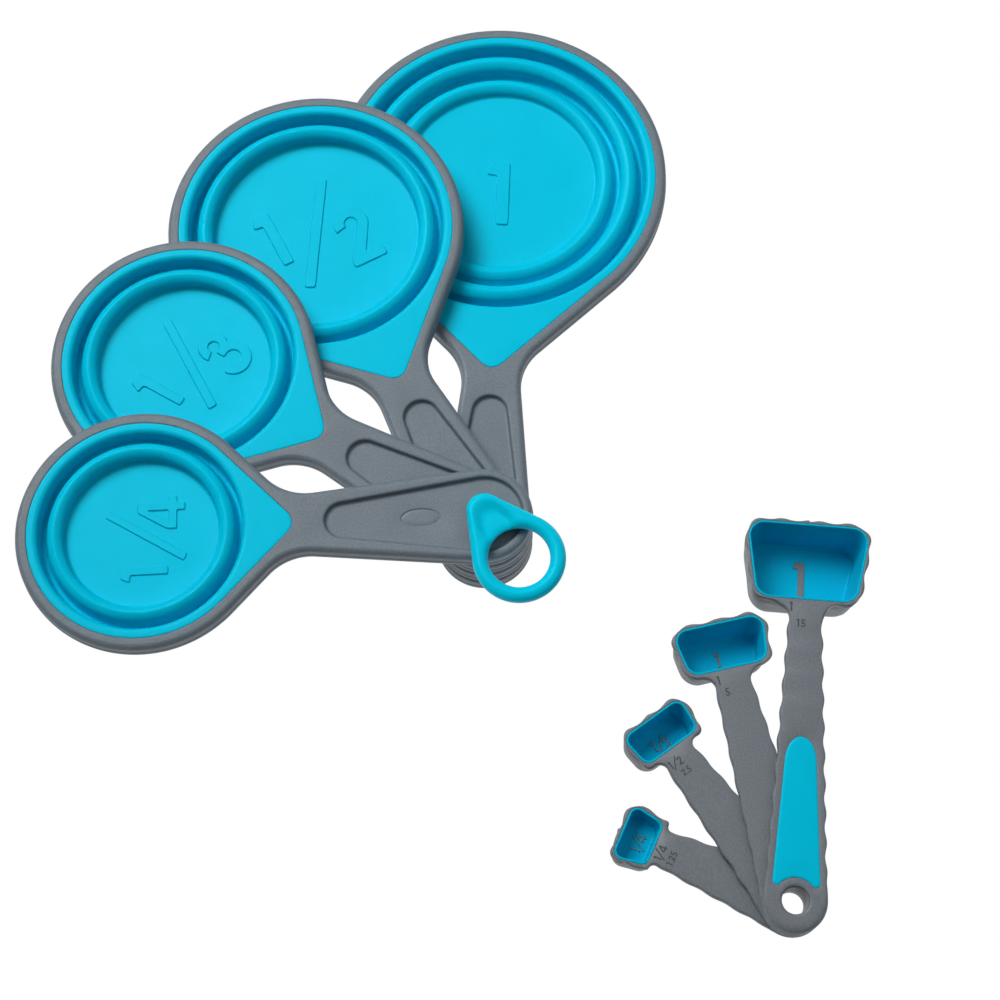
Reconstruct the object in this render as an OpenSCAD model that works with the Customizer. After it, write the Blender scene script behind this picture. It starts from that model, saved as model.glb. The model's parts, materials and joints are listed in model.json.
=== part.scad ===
// Nesting set of collapsible measuring cups on a ring, with measuring spoons on a snap post.
// Units are millimetres. The set lies flat on z = 0 and the cups swivel about the Z axis.

/* [Cups] */
// Outer radius of the silicone rim plate: one, half, third and quarter cup
rim_r = [58.4, 50.1, 42.7, 38.3]; // [37:0.1:60]
// Brim capacity in millilitres, expanded: one, half, third and quarter cup
capacity = [237, 118, 79, 59]; // [58:1:240]
// Direction of each cup from the pivot, in degrees about +Z
cup_angle = [87.9, 117.9, 150.3, 182.7]; // [85:0.1:185]
// Radial width of one silicone fold: one, half, third and quarter cup
fold_pitch = [8.9, 8.2, 8.0, 7.8]; // [7.6:0.1:9]
// Height from one cup to the next in the stack
stack_pitch = 8.8; // [8.6:0.1:10]
// Width of the rim plate outside the bowl
plate_w = 3.5; // [3.2:0.1:4]
// Thickness of the rim plate
plate_t = 1.4; // [1.2:0.1:2]
// Thickness of the folding silicone wall
wall_t = 0.9; // [0.8:0.05:1]
// Thickness of the silicone floor
floor_t = 1.2; // [1:0.1:1.3]
// Drop from the rim to the top of a folded pleat
crest_drop = 0.8; // [0.5:0.1:1.2]

/* [Cup frames] */
// Thickness of the plastic frame
frame_t = 6.6; // [6:0.1:7]
// Width of the frame band around the rim plate
band_w = 4.2; // [3.5:0.1:5]
// Slope of the straight flanks that run from the bowl to the neck, in degrees
flank_angle = 44; // [42:0.5:46]
// Corner radius of the rim plate's point
tip_r = 5; // [4:0.5:6]
// Gap from the rim plate's point to the pivot
tip_to_pivot = 65; // [63:0.5:70]
// Radius of the handle's round end
handle_r = 16.8; // [16:0.1:18]
// Angle by which each handle side narrows towards the neck
handle_taper = 5.9; // [5:0.1:6.5]
// Radius of the hollow curve between flank and neck
neck_fillet = 19; // [15:1:22]
// Depth of the pocket in the handle
pocket_d = 1.8; // [1:0.1:2.2]

/* [Ring] */
// Radius of the ring piece at the post
apex_r = 6; // [5:0.1:6.4]
// Outer radius of the hanging ring
ring_r = 15.7; // [15:0.1:17]
// Radius of the hole in the hanging ring
ring_hole_r = 10.4; // [9:0.1:11]
// Distance from the post to the hole's centre
ring_reach = 20.5; // [19:0.5:22]
// Thickness of the ring
ring_t = 5.2; // [4:0.1:6]
// Direction of the ring from the post, in degrees about +Z
ring_angle = -54.9; // [-60:0.1:-45]
// Radius of the post that the cups swivel on
post_r = 3.5; // [3:0.1:4]
// Radius of the flat foot under the post
foot_r = 10.5; // [7:0.1:11]

/* [Spoons] */
// Distance from the spoon pivot to each bowl's centre: tablespoon down to quarter teaspoon
bowl_reach = [115.4, 88.4, 70.1, 54.2]; // [54:0.1:118]
// Direction of each spoon from its pivot, in degrees about +Z
spoon_angle = [85.1, 103, 126, 156]; // [80:0.1:160]
// Inside width of each bowl on the far side
far_w = [39.9, 29.8, 22.6, 17]; // [16:0.1:42]
// Inside width of each bowl on the handle side
near_w = [31.9, 25.1, 20.2, 13.3]; // [12:0.1:34]
// Inside length of each bowl, along the handle
bowl_len = [25.8, 15, 11, 10.5]; // [10:0.1:27]
// Spoon capacity in millilitres
spoon_ml = [15, 5, 2.5, 1.25]; // [1.2:0.05:15]
// Half width of each handle at the neck
neck_hw = [5.7, 6.3, 6.1, 6.2]; // [5:0.1:7]
// Radius of the handles' round ends
spoon_end_r = 10.6; // [10:0.1:12]
// Thickness of a spoon handle
spoon_t = 3.1; // [2.8:0.1:3.1]
// Height from one spoon handle to the next
spoon_pitch = 3.2; // [3.2:0.1:3.4]
// Radius of the hole through the snap post
hang_r = 4.4; // [4:0.1:4.6]
// Outside radius of the snap post
snap_r = 5.7; // [5.5:0.1:6]
// Spoon pivot, measured from the cups' pivot
spoon_pivot = [101, -127.6]; // [-140:0.1:120]

/* [Hidden] */
$fn = 96;
fine = 128;

ONE = 0;
HALF = 1;
THIRD = 2;
QUARTER = 3;
folds = [2, 1, 1, 1];
grey = [0.38, 0.43, 0.47];
blue = [0.03, 0.68, 0.83];

run_gap = 0.05;      // radial clearance of a part that turns on a post
stack_gap = 0.15;    // gap between a hub and the pocket below it
bowl_gap = 0.3;      // gap between the folded wall and the frame's opening
pocket_tip_r = 6.3;  // radius of the pocket's narrow end
pocket_far = 54;     // distance from the pivot to the pocket's narrow end
pocket_rim = 3.6;    // width of the rim around the pocket
hub_r = 8;           // radius of the hub under each upper handle
foot_t = 1.4;        // thickness of the foot under the post
shoulder_r = 4.4;    // radius of the shoulder between the ring and the top handle
floor_rise = 0.9;    // height of the folded floor above the valleys
through = 1;         // how far a cutter or a joined piece runs past the face it meets

// Spoons
TBSP = 0;
TSP = 1;
HALF_TSP = 2;
QUARTER_TSP = 3;
liner_t = 0.8;       // thickness of a bowl's soft liner
shell_t = 1.5;       // thickness of a bowl's hard shell
bowl_floor_t = 1;    // thickness of the shell's floor
bowl_draft = [1.6, 1.3, 0.8, 0.6];  // how far each bowl wall leans in towards the floor
corner_r = [6, 4.6, 2.8, 2.4];      // corner radius of each bowl
slab_t = 0.1;        // thickness of the slabs that a bowl is stretched between
grip_t = 0.8;        // depth of the grip inlay
grip_proud = 0.2;    // height of the inlay above the handle
grip_end_r = 5.1;    // radius of the inlay's narrow end
grip_widen = 3;      // how much wider its other end is, on each side
grip_start = 4.5;    // distance from the pivot to the inlay's wide end
grip_reach = 49;     // distance from the pivot to the centre of its narrow end
notch_r = 7.3;       // radius of its hollow around the hole
snap_low = 6.2;      // lowest point of the snap post
bead_r = 6.3;        // radius of the bead that the spoons snap over
bead_t = 1;          // height of the bead
bead_gap = 0.1;      // gap between the bead and the lowest spoon

// Proportions of one fold, as shares of the fold pitch
valley_at = 0.17;
valley_share = 0.12;
crest_at = 0.72;
crest_half = 0.225;
corner_share = 0.09;
floor_share = 0.09;   // gap between the last fold and the floor's edge
wall_start = 0.05;    // mean radius of the outermost wall, inwards from the bowl's edge
wall_step = 0.45;     // and of each wall after it

function sum(v, i = 0) = i < len(v) ? v[i] + sum(v, i + 1) : 0;
function arc(c, r, a0, a1, n) = [for (i = [0:n]) let (a = a0 + (a1 - a0) * i / n) c + r * [cos(a), sin(a)]];

// Outline of two circles joined by their outer tangents, from the origin out along +X
function strap(r0, r1, reach) =
    let (g = asin((r0 - r1) / reach))
    concat(arc([0, 0], r0, 90 - g, 270 + g, 24), arc([reach, 0], r1, g - 90, 90 - g, 16));

// Cup measures
function wall_r(k) = rim_r[k] - plate_w;
function cup_reach(k) = tip_to_pivot + (rim_r[k] - tip_r) / cos(flank_angle) + tip_r;
function valley_r(k, j) = wall_r(k) - (j + valley_at) * fold_pitch[k];
function crest_r(k, j) = wall_r(k) - (j + crest_at) * fold_pitch[k];
function floor_r(k) = wall_r(k) - (folds[k] + floor_share) * fold_pitch[k];

// Mean radius and height correction of each wall, from which the wall height follows
function tier_r(k) = [for (i = [0:2 * folds[k]]) wall_r(k) - (wall_start + wall_step * i) * fold_pitch[k]];
function tier_cut(k) = [for (i = [0:2 * folds[k]])
    i == 0 ? 0 : (i == 2 * folds[k] ? crest_drop + floor_rise : crest_drop)];
function wall_h(k) =
    let (r2 = [for (r = tier_r(k)) r * r], cut = tier_cut(k))
    (capacity[k] * 1000 / PI + r2 * cut) / sum(r2);
function cup_depth(k) = wall_h(k) + wall_t;
function cup_top(k) = k * stack_pitch + cup_depth(k);

// Spoon measures: the depth of each bowl follows from its capacity
function bowl_area(k) = (far_w[k] + near_w[k] - 2 * bowl_draft[k]) / 2 * (bowl_len[k] - bowl_draft[k])
    - (4 - PI) * pow(corner_r[k], 2);
function bowl_depth(k) = spoon_ml[k] * 1000 / bowl_area(k);
function spoon_top(k) = bowl_depth(TBSP) + liner_t + bowl_floor_t - k * spoon_pitch;

// Sections of the folded wall, on the bowl side and on the under side
function valley_in(k, j, a0, a1, r) =
    let (vr = valley_share * fold_pitch[k])
    arc([valley_r(k, j), -wall_h(k) + vr], vr + r, a0, a1, 5);
function crest_out_side(k, j) =
    let (hw = crest_half * fold_pitch[k], cr = corner_share * fold_pitch[k])
    arc([crest_r(k, j) + hw - cr, -crest_drop - cr], cr, 0, 90, 3);
function crest_in_side(k, j) =
    let (hw = crest_half * fold_pitch[k], cr = corner_share * fold_pitch[k])
    arc([crest_r(k, j) - hw + cr, -crest_drop - cr], cr, 90, 180, 3);
function crest_mid(k, j) = [crest_r(k, j), -crest_drop];
function crest_under(k, j, side) =
    [crest_r(k, j) + side * (crest_half * fold_pitch[k] - wall_t), -crest_drop - wall_t];
drop_wall = [0, -wall_t];

function rim_section(k) = concat(
    [[wall_r(k), 0]], valley_in(k, 0, 0, -90, 0),
    valley_in(k, 0, -90, 0, wall_t), [[wall_r(k) + wall_t, -plate_t / 2], [wall_r(k) + wall_t, 0]]);
function pleat_section(k, j) = concat(
    valley_in(k, j, -90, -180, 0), crest_out_side(k, j), [crest_mid(k, j)],
    [crest_mid(k, j) + drop_wall, crest_under(k, j, 1)], valley_in(k, j, -180, -90, wall_t));
function tier_section(k, j) = concat(
    [crest_mid(k, j)], crest_in_side(k, j), valley_in(k, j + 1, 0, -90, 0),
    valley_in(k, j + 1, -90, 0, wall_t), [crest_under(k, j, -1), crest_mid(k, j) + drop_wall]);
function base_section(k) =
    let (j = folds[k] - 1, zf = -wall_h(k) + floor_rise, rf = floor_r(k))
    concat(
        [crest_mid(k, j)], crest_in_side(k, j), arc([rf - 1, zf + 1], 1, 0, -90, 4), [[0, zf]],
        [[0, zf - floor_t], [rf - 1, zf - floor_t], [rf + wall_t, zf + 1 - wall_t]],
        [crest_under(k, j, -1), crest_mid(k, j) + drop_wall]);

function plate_outline(k) = concat(
    arc([cup_reach(k), 0], rim_r[k], flank_angle - 180, 180 - flank_angle, 64),
    arc([tip_to_pivot + tip_r, 0], tip_r, 180 - flank_angle, 180 + flank_angle, 8));

// Outline of a frame: bowl band, straight flanks, hollow fillets and tapered handle
function frame_outline(k) =
    let (
        c = [cup_reach(k), 0],
        flank_n = [-cos(flank_angle), sin(flank_angle)],
        side_n = [sin(handle_taper), cos(handle_taper)],
        b1 = flank_n * c + rim_r[k] + band_w + neck_fillet,
        b2 = handle_r + neck_fillet,
        det = flank_n.x * side_n.y - flank_n.y * side_n.x,
        f = [(b1 * side_n.y - b2 * flank_n.y) / det, (flank_n.x * b2 - side_n.x * b1) / det],
        upper = concat(
            arc(c, rim_r[k] + band_w, 0, 180 - flank_angle, 36),
            arc(f, neck_fillet, -flank_angle, -90 - handle_taper, 8),
            arc([0, 0], handle_r, 90 - handle_taper, 180, 14)))
    concat(upper, [for (i = [len(upper) - 2:-1:1]) [upper[i].x, -upper[i].y]]);

// Places a cup's own geometry, drawn along +X with its rim at z = 0
module place_cup(k) {
    translate([0, 0, cup_top(k)])
        rotate([0, 0, cup_angle[k]])
            children();
}

module bowl_ring(k, section) {
    color(blue)
        place_cup(k)
            translate([cup_reach(k), 0, 0])
                rotate_extrude()
                    polygon(section);
}

module cup_frame(k) {
    low = k == ONE ? -frame_t : stack_gap - pocket_d - cup_top(k) + cup_top(k - 1);
    color(grey)
        place_cup(k)
            difference() {
                union() {
                    translate([0, 0, -frame_t])
                        linear_extrude(frame_t)
                            polygon(frame_outline(k));
                    translate([0, 0, low])
                        cylinder(r = hub_r, h = -frame_t - low + through);
                }
                translate([cup_reach(k), 0, -frame_t - through])
                    cylinder(r = wall_r(k) + wall_t + bowl_gap, h = frame_t + 2 * through, $fn = fine);
                translate([0, 0, -plate_t])
                    linear_extrude(plate_t + through)
                        polygon(plate_outline(k));
                translate([0, 0, -pocket_d])
                    linear_extrude(pocket_d + through)
                        polygon(strap(handle_r - pocket_rim, pocket_tip_r, pocket_far - pocket_tip_r));
                translate([0, 0, low - through])
                    cylinder(r = post_r + run_gap, h = -low + 2 * through);
            }
}

module cup_rim(k) {
    color(blue)
        place_cup(k)
            union() {
                difference() {
                    translate([0, 0, -plate_t])
                        linear_extrude(plate_t)
                            polygon(plate_outline(k));
                    translate([cup_reach(k), 0, -plate_t - through])
                        cylinder(r = wall_r(k) + wall_t / 2, h = plate_t + 2 * through, $fn = fine);
                }
                translate([cup_reach(k), 0, 0])
                    rotate_extrude()
                        polygon(rim_section(k));
            }
}

module hanging_ring() {
    low = cup_top(QUARTER) - pocket_d + stack_gap;
    ring_z = cup_top(QUARTER) + stack_gap;
    color(blue)
        rotate([0, 0, ring_angle])
            difference() {
                union() {
                    translate([0, 0, ring_z])
                        linear_extrude(ring_t)
                            polygon(strap(apex_r, ring_r, ring_reach));
                    translate([0, 0, low])
                        cylinder(r = shoulder_r, h = ring_z - low + through);
                    translate([0, 0, foot_t / 2])
                        cylinder(r = post_r, h = ring_z);
                    cylinder(r = foot_r, h = foot_t);
                }
                translate([ring_reach, 0, ring_z - through])
                    cylinder(r = ring_hole_r, h = ring_t + 2 * through);
            }
}

module place_spoon(k) {
    translate([spoon_pivot.x, spoon_pivot.y, spoon_top(k)])
        rotate([0, 0, spoon_angle[k]])
            children();
}

// The four rounded corners of a bowl at one level, grown outwards and leaning in
module bowl_corners(k, grow, lean, z, h) {
    for (fx = [-1, 1], fy = [-1, 1]) {
        half_w = (fx > 0 ? far_w[k] : near_w[k]) / 2 - corner_r[k] - lean;
        half_l = bowl_len[k] / 2 - corner_r[k] - lean;
        translate([bowl_reach[k] + fx * half_l, fy * half_w, z])
            cylinder(r = corner_r[k] + grow, h = h, $fn = 32);
    }
}

module bowl_hull(k, grow, depth) {
    hull() {
        bowl_corners(k, grow, 0, -slab_t, slab_t);
        bowl_corners(k, grow, bowl_draft[k], -depth, slab_t);
    }
}

// The same shape as a cutter, which runs on upwards through the rim
module bowl_cut(k, grow, depth) {
    bowl_hull(k, grow, depth);
    hull()
        bowl_corners(k, grow, 0, -slab_t, slab_t + through);
}

module spoon_body(k) {
    hole = k == TBSP ? hang_r : snap_r + run_gap;
    low = k == TBSP ? snap_low - spoon_top(TBSP) : -spoon_t;
    bead_top = spoon_top(QUARTER_TSP) - spoon_t - bead_gap - spoon_top(TBSP);
    color(grey)
        place_spoon(k)
            difference() {
                union() {
                    bowl_hull(k, shell_t + liner_t, bowl_depth(k) + liner_t + bowl_floor_t);
                    translate([0, 0, -spoon_t])
                        linear_extrude(spoon_t)
                            polygon(strap(spoon_end_r, neck_hw[k], bowl_reach[k] - bowl_len[k] / 2));
                    if (k == TBSP) {
                        translate([0, 0, low])
                            cylinder(r = snap_r, h = -low - spoon_t / 2);
                        translate([0, 0, bead_top - bead_t])
                            cylinder(r = bead_r, h = bead_t);
                    }
                }
                bowl_cut(k, liner_t, bowl_depth(k) + liner_t);
                translate([0, 0, low - through])
                    cylinder(r = hole, h = -low + 2 * through);
                if (k == TBSP)
                    translate([0, 0, -grip_t])
                        linear_extrude(grip_t + through)
                            grip_outline();
            }
}

module spoon_liner(k) {
    color(blue)
        place_spoon(k)
            difference() {
                bowl_hull(k, liner_t, bowl_depth(k) + liner_t);
                bowl_cut(k, 0, bowl_depth(k));
            }
}

module grip_outline() {
    difference() {
        polygon(strap(grip_end_r + grip_widen, grip_end_r, grip_reach));
        circle(r = notch_r);
        translate([-grip_reach, -grip_reach])
            square([grip_reach + grip_start, 2 * grip_reach]);
    }
}

module tablespoon_grip() {
    color(blue)
        place_spoon(TBSP)
            translate([0, 0, -grip_t])
                linear_extrude(grip_t + grip_proud)
                    grip_outline();
}

module one_frame() { cup_frame(ONE); }
module one_rim() { cup_rim(ONE); }
module one_outer_pleat() { bowl_ring(ONE, pleat_section(ONE, 0)); }
module one_middle_tier() { bowl_ring(ONE, tier_section(ONE, 0)); }
module one_inner_pleat() { bowl_ring(ONE, pleat_section(ONE, 1)); }
module one_base() { bowl_ring(ONE, base_section(ONE)); }
module half_frame() { cup_frame(HALF); }
module half_rim() { cup_rim(HALF); }
module half_pleat() { bowl_ring(HALF, pleat_section(HALF, 0)); }
module half_base() { bowl_ring(HALF, base_section(HALF)); }
module third_frame() { cup_frame(THIRD); }
module third_rim() { cup_rim(THIRD); }
module third_pleat() { bowl_ring(THIRD, pleat_section(THIRD, 0)); }
module third_base() { bowl_ring(THIRD, base_section(THIRD)); }
module quarter_frame() { cup_frame(QUARTER); }
module quarter_rim() { cup_rim(QUARTER); }
module quarter_pleat() { bowl_ring(QUARTER, pleat_section(QUARTER, 0)); }
module quarter_base() { bowl_ring(QUARTER, base_section(QUARTER)); }
module tablespoon_body() { spoon_body(TBSP); }
module tablespoon_liner() { spoon_liner(TBSP); }
module teaspoon_body() { spoon_body(TSP); }
module teaspoon_liner() { spoon_liner(TSP); }
module half_teaspoon_body() { spoon_body(HALF_TSP); }
module half_teaspoon_liner() { spoon_liner(HALF_TSP); }
module quarter_teaspoon_body() { spoon_body(QUARTER_TSP); }
module quarter_teaspoon_liner() { spoon_liner(QUARTER_TSP); }

one_frame();
one_rim();
one_outer_pleat();
one_middle_tier();
one_inner_pleat();
one_base();
half_frame();
half_rim();
half_pleat();
half_base();
third_frame();
third_rim();
third_pleat();
third_base();
quarter_frame();
quarter_rim();
quarter_pleat();
quarter_base();
hanging_ring();
tablespoon_body();
tablespoon_liner();
tablespoon_grip();
teaspoon_body();
teaspoon_liner();
half_teaspoon_body();
half_teaspoon_liner();
quarter_teaspoon_body();
quarter_teaspoon_liner();
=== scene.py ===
"""Measuring cups with folding silicone bowls on a ring, and measuring spoons on a snap post.

Each cup and spoon is built in millimetres with its pivot at the origin, its bowl out along +X and its
top face at z = 0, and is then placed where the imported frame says. The ring is built standing on z = 0.
"""

import json
from math import acos, asin, atan2, cos, degrees, hypot, pi, radians, sin, sqrt, tan

import bmesh
import bpy
from mathutils import Matrix, Vector

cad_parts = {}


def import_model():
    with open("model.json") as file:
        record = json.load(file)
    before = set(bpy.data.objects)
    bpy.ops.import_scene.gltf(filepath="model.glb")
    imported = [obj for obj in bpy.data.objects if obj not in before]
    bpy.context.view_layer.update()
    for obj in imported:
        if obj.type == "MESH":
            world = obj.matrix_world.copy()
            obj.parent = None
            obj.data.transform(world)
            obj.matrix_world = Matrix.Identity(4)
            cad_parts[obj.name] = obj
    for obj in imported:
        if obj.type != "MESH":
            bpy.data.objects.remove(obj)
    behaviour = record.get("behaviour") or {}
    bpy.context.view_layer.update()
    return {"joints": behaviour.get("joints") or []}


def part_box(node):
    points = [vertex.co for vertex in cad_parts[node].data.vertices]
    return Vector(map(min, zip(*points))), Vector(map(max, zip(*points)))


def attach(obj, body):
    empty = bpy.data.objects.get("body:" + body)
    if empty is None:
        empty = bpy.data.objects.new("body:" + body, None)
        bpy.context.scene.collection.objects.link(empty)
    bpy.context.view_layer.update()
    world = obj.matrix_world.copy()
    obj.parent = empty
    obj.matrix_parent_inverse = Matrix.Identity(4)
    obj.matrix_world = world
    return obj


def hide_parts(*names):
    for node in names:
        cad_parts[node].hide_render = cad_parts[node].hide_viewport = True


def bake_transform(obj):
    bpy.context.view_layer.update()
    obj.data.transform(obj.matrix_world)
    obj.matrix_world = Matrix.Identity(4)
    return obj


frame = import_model()

MM = 0.001

# ---------------------------------------------------------------- measures shared with the design
FLANK = radians(44)       # slope of the straight flanks between bowl and neck
TIP_R = 5                 # corner radius of the rim plate's point
TIP_TO_PIVOT = 65
BAND = 4.2                # width of the frame outside the rim plate
PLATE_W = 3.5             # width of the rim plate outside the bowl
PLATE_T = 1.4
FRAME_T = 6.6
WALL_T = 0.9
FLOOR_T = 1.2
FLOOR_RISE = 0.9          # the folded floor stands this far above the valleys
CREST_DROP = 0.8          # the folded pleats end this far below the rim
HANDLE_R = 16.8
HANDLE_TAPER = radians(5.9)
NECK_FILLET = 19
POCKET_RIM = 3.6
POCKET_TIP_R = 6.3
POCKET_FAR = 54
POCKET_D = 1.8
HUB_R = 8
HOLE_R = 3.55
BOWL_GAP = 0.3

VALLEY_AT, VALLEY_SHARE = 0.17, 0.12      # shares of the fold pitch
CREST_AT, CREST_HALF = 0.72, 0.33
CREST_ARCH = 2.2          # height of a crest's rounded top
CREST_PEAK = 1.55         # 2 would make it an ellipse, and less gives it a narrower ridge
CREST_STEP = 2.2          # how much lower each crest stands than the one outside it
PLATE_EDGE = 1.6          # radius of the rim plate's edge over the bowl
FOOT_CURVE = 1.0          # radius of the corner between wall and floor
HEEL_CURVE, HEEL_IN, HEEL_UP = 1.7, 0.7, 0.5   # the same corner on the under side, and its centre
WALL_LEAN = 0.15          # how far the last wall leans in on its way down
FOLD_PITCH = {"one": 8.9, "half": 8.2, "third": 8.0, "quarter": 7.8}
FOLDS = {"one": 2, "half": 1, "third": 1, "quarter": 1}
CUPS = ["one", "half", "third", "quarter"]
BELOW = {"half": "one", "third": "half", "quarter": "third"}


# ---------------------------------------------------------------- small geometry helpers
def arc(cx, cy, r, a0, a1, n):
    """Points on an arc from a0 to a1 degrees, both ends included."""
    return [(cx + r * cos(radians(a0 + (a1 - a0) * i / n)), cy + r * sin(radians(a0 + (a1 - a0) * i / n)))
            for i in range(n + 1)]


def strap(r0, r1, reach, n0=96, n1=64):
    """Outline of two circles joined by their outer tangents, from the origin out along +X."""
    lean = degrees(asin((r0 - r1) / reach))
    return arc(0, 0, r0, 90 - lean, 270 + lean, n0) + arc(reach, 0, r1, lean - 90, 90 - lean, n1)


def side_lengths(loop):
    return [hypot(loop[i][0] - loop[i - 1][0], loop[i][1] - loop[i - 1][1]) for i in range(len(loop))]


def even(loop, step):
    """The same closed outline with points a step apart, so that its normals are smooth."""
    lengths = side_lengths(loop)
    total = sum(lengths)
    count = max(12, round(total / step))
    spacing = total / count
    out, walked, i = [], 0.0, 1
    for k in range(count):
        target = k * spacing
        while walked + lengths[i % len(loop)] < target and i < len(loop) * 2:
            walked += lengths[i % len(loop)]
            i += 1
        span = lengths[i % len(loop)] or 1
        t = (target - walked) / span
        a, b = loop[(i - 1) % len(loop)], loop[i % len(loop)]
        out.append((a[0] + (b[0] - a[0]) * t, a[1] + (b[1] - a[1]) * t))
    return out


def normals_of(loop):
    """Outward unit normals of a counter-clockwise outline."""
    n, out = len(loop), []
    for i in range(n):
        a, b = loop[i - 1], loop[(i + 1) % n]
        dx, dy = b[0] - a[0], b[1] - a[1]
        size = hypot(dx, dy) or 1
        out.append((dy / size, -dx / size))
    return out


def grown(loop, normals, by):
    """The outline moved out along its normals, or in when by is negative."""
    return [(p[0] + n[0] * by, p[1] + n[1] * by) for p, n in zip(loop, normals)]


def smooth_step(t):
    t = min(1, max(0, t))
    return t * t * (3 - 2 * t)


class Build:
    """A mesh under construction, in millimetres."""

    def __init__(self):
        self.bm = bmesh.new()

    def ring(self, loop, z):
        """A closed row of vertices, at one height or at one for each point."""
        heights = z if hasattr(z, "__len__") else [z] * len(loop)
        return [self.bm.verts.new((p[0], p[1], h)) for p, h in zip(loop, heights)]

    def skin(self, lower, upper):
        """A band of quads between two rings of the same length."""
        n = len(lower)
        for i in range(n):
            j = (i + 1) % n
            self.bm.faces.new((lower[i], lower[j], upper[j], upper[i]))

    def skins(self, rings):
        for a, b in zip(rings, rings[1:]):
            self.skin(a, b)

    def wall(self, loop, profile):
        """Joined rings that follow an outline, one for each (how far out, height) of the profile."""
        normals = normals_of(loop)
        rings = [self.ring(grown(loop, normals, by), z) for by, z in profile]
        self.skins(rings)
        return rings

    def tube(self, section, steps, centre=0):
        """Joined round rings, one for each (radius, height) of the section."""
        rings = [self.ring(arc(centre, 0, r, 0, 360, steps)[:-1], z) for r, z in section]
        self.skins(rings)
        return rings

    def fill(self, *rings):
        """A flat face between closed rings, the inner ones being holes."""
        edges = []
        for ring in rings:
            for i in range(len(ring)):
                pair = (ring[i - 1], ring[i])
                edges.append(self.bm.edges.get(pair) or self.bm.edges.new(pair))
        bmesh.ops.triangle_fill(self.bm, use_beauty=True, use_dissolve=False, edges=edges)

    def revolve(self, section, centre, steps, closed=True):
        """Turns a section of (radius, height) points about a vertical axis."""
        rings = []
        for r, z in section:
            if r < 1e-6:
                rings.append([self.bm.verts.new((centre, 0, z))])
            else:
                rings.append(self.ring(arc(centre, 0, r, 0, 360, steps)[:-1], z))
        pairs = list(zip(rings, rings[1:])) + ([(rings[-1], rings[0])] if closed else [])
        for a, b in pairs:
            if len(a) == 1 and len(b) == 1:
                continue
            if len(a) == 1 or len(b) == 1:
                tip, rim = (a[0], b) if len(a) == 1 else (b[0], a)
                for i in range(steps):
                    self.bm.faces.new((rim[i - 1], rim[i], tip))
            else:
                self.skin(a, b)

    def piece(self, name, material, sharp=35.0):
        """Closes the mesh, turns its faces outward and makes the object, in metres."""
        bmesh.ops.remove_doubles(self.bm, verts=self.bm.verts, dist=0.0005)
        bmesh.ops.recalc_face_normals(self.bm, faces=self.bm.faces)
        limit = radians(sharp)
        for edge in self.bm.edges:
            if len(edge.link_faces) == 2:
                edge.smooth = edge.calc_face_angle(0) < limit
        for face in self.bm.faces:
            face.smooth = True
        bmesh.ops.scale(self.bm, vec=(MM, MM, MM), verts=self.bm.verts)
        mesh = bpy.data.meshes.new(name)
        self.bm.to_mesh(mesh)
        self.bm.free()
        mesh.materials.append(material)
        obj = bpy.data.objects.new(name, mesh)
        bpy.context.scene.collection.objects.link(obj)
        return obj


def place(obj, where, turn):
    """Moves a finished mesh, not just its object, to its place in the part's frame."""
    obj.data.transform(Matrix.Translation(where) @ Matrix.Rotation(turn, 4, "Z"))
    return obj


def settle(obj, body, slot, *nodes):
    """Attaches a piece to the body it rides and hides the nodes it replaces; slot is not used."""
    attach(obj, body)
    if nodes:
        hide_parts(*nodes)
    return obj


# ---------------------------------------------------------------- materials
def shader(name, colour, roughness):
    """A new material with its Principled node, colour given as sRGB 0 to 255."""
    material = bpy.data.materials.new(name)
    material.use_nodes = True
    nodes = material.node_tree.nodes
    bsdf = nodes["Principled BSDF"]
    linear = [((c / 255 + 0.055) / 1.055) ** 2.4 if c > 10 else c / 255 / 12.92 for c in colour]
    bsdf.inputs["Base Color"].default_value = (*linear, 1)
    bsdf.inputs["Roughness"].default_value = roughness
    return material, nodes, material.node_tree.links, bsdf, linear


RAMP_LOW, RAMP_HIGH = 0.35, 0.65          # the part of a noise's range that the tones spread over
NOISE_LOW, NOISE_HIGH = 0.3, 0.7


def mottled(nodes, links, target, colours, scale, detail):
    """Feeds a socket a colour that drifts between two tones with a noise."""
    where = nodes.new("ShaderNodeTexCoord")
    noise = nodes.new("ShaderNodeTexNoise")
    noise.inputs["Scale"].default_value = scale
    noise.inputs["Detail"].default_value = detail
    ramp = nodes.new("ShaderNodeValToRGB")
    ramp.color_ramp.elements[0].position = RAMP_LOW
    ramp.color_ramp.elements[1].position = RAMP_HIGH
    ramp.color_ramp.elements[0].color = (*colours[0], 1)
    ramp.color_ramp.elements[1].color = (*colours[1], 1)
    links.new(where.outputs["Object"], noise.inputs["Vector"])
    links.new(noise.outputs["Fac"], ramp.inputs["Fac"])
    links.new(ramp.outputs["Color"], target)
    return where


def grain(nodes, links, bsdf, where, layers):
    """Chains bump layers of noise, each (scale, strength, distance in metres)."""
    last = None
    for scale, strength, depth in layers:
        noise = nodes.new("ShaderNodeTexNoise")
        noise.inputs["Scale"].default_value = scale
        noise.inputs["Detail"].default_value = 2.0
        bump = nodes.new("ShaderNodeBump")
        bump.inputs["Strength"].default_value = strength
        bump.inputs["Distance"].default_value = depth
        links.new(where.outputs["Object"], noise.inputs["Vector"])
        links.new(noise.outputs["Fac"], bump.inputs["Height"])
        if last:
            links.new(last.outputs["Normal"], bump.inputs["Normal"])
        last = bump
    links.new(last.outputs["Normal"], bsdf.inputs["Normal"])


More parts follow.
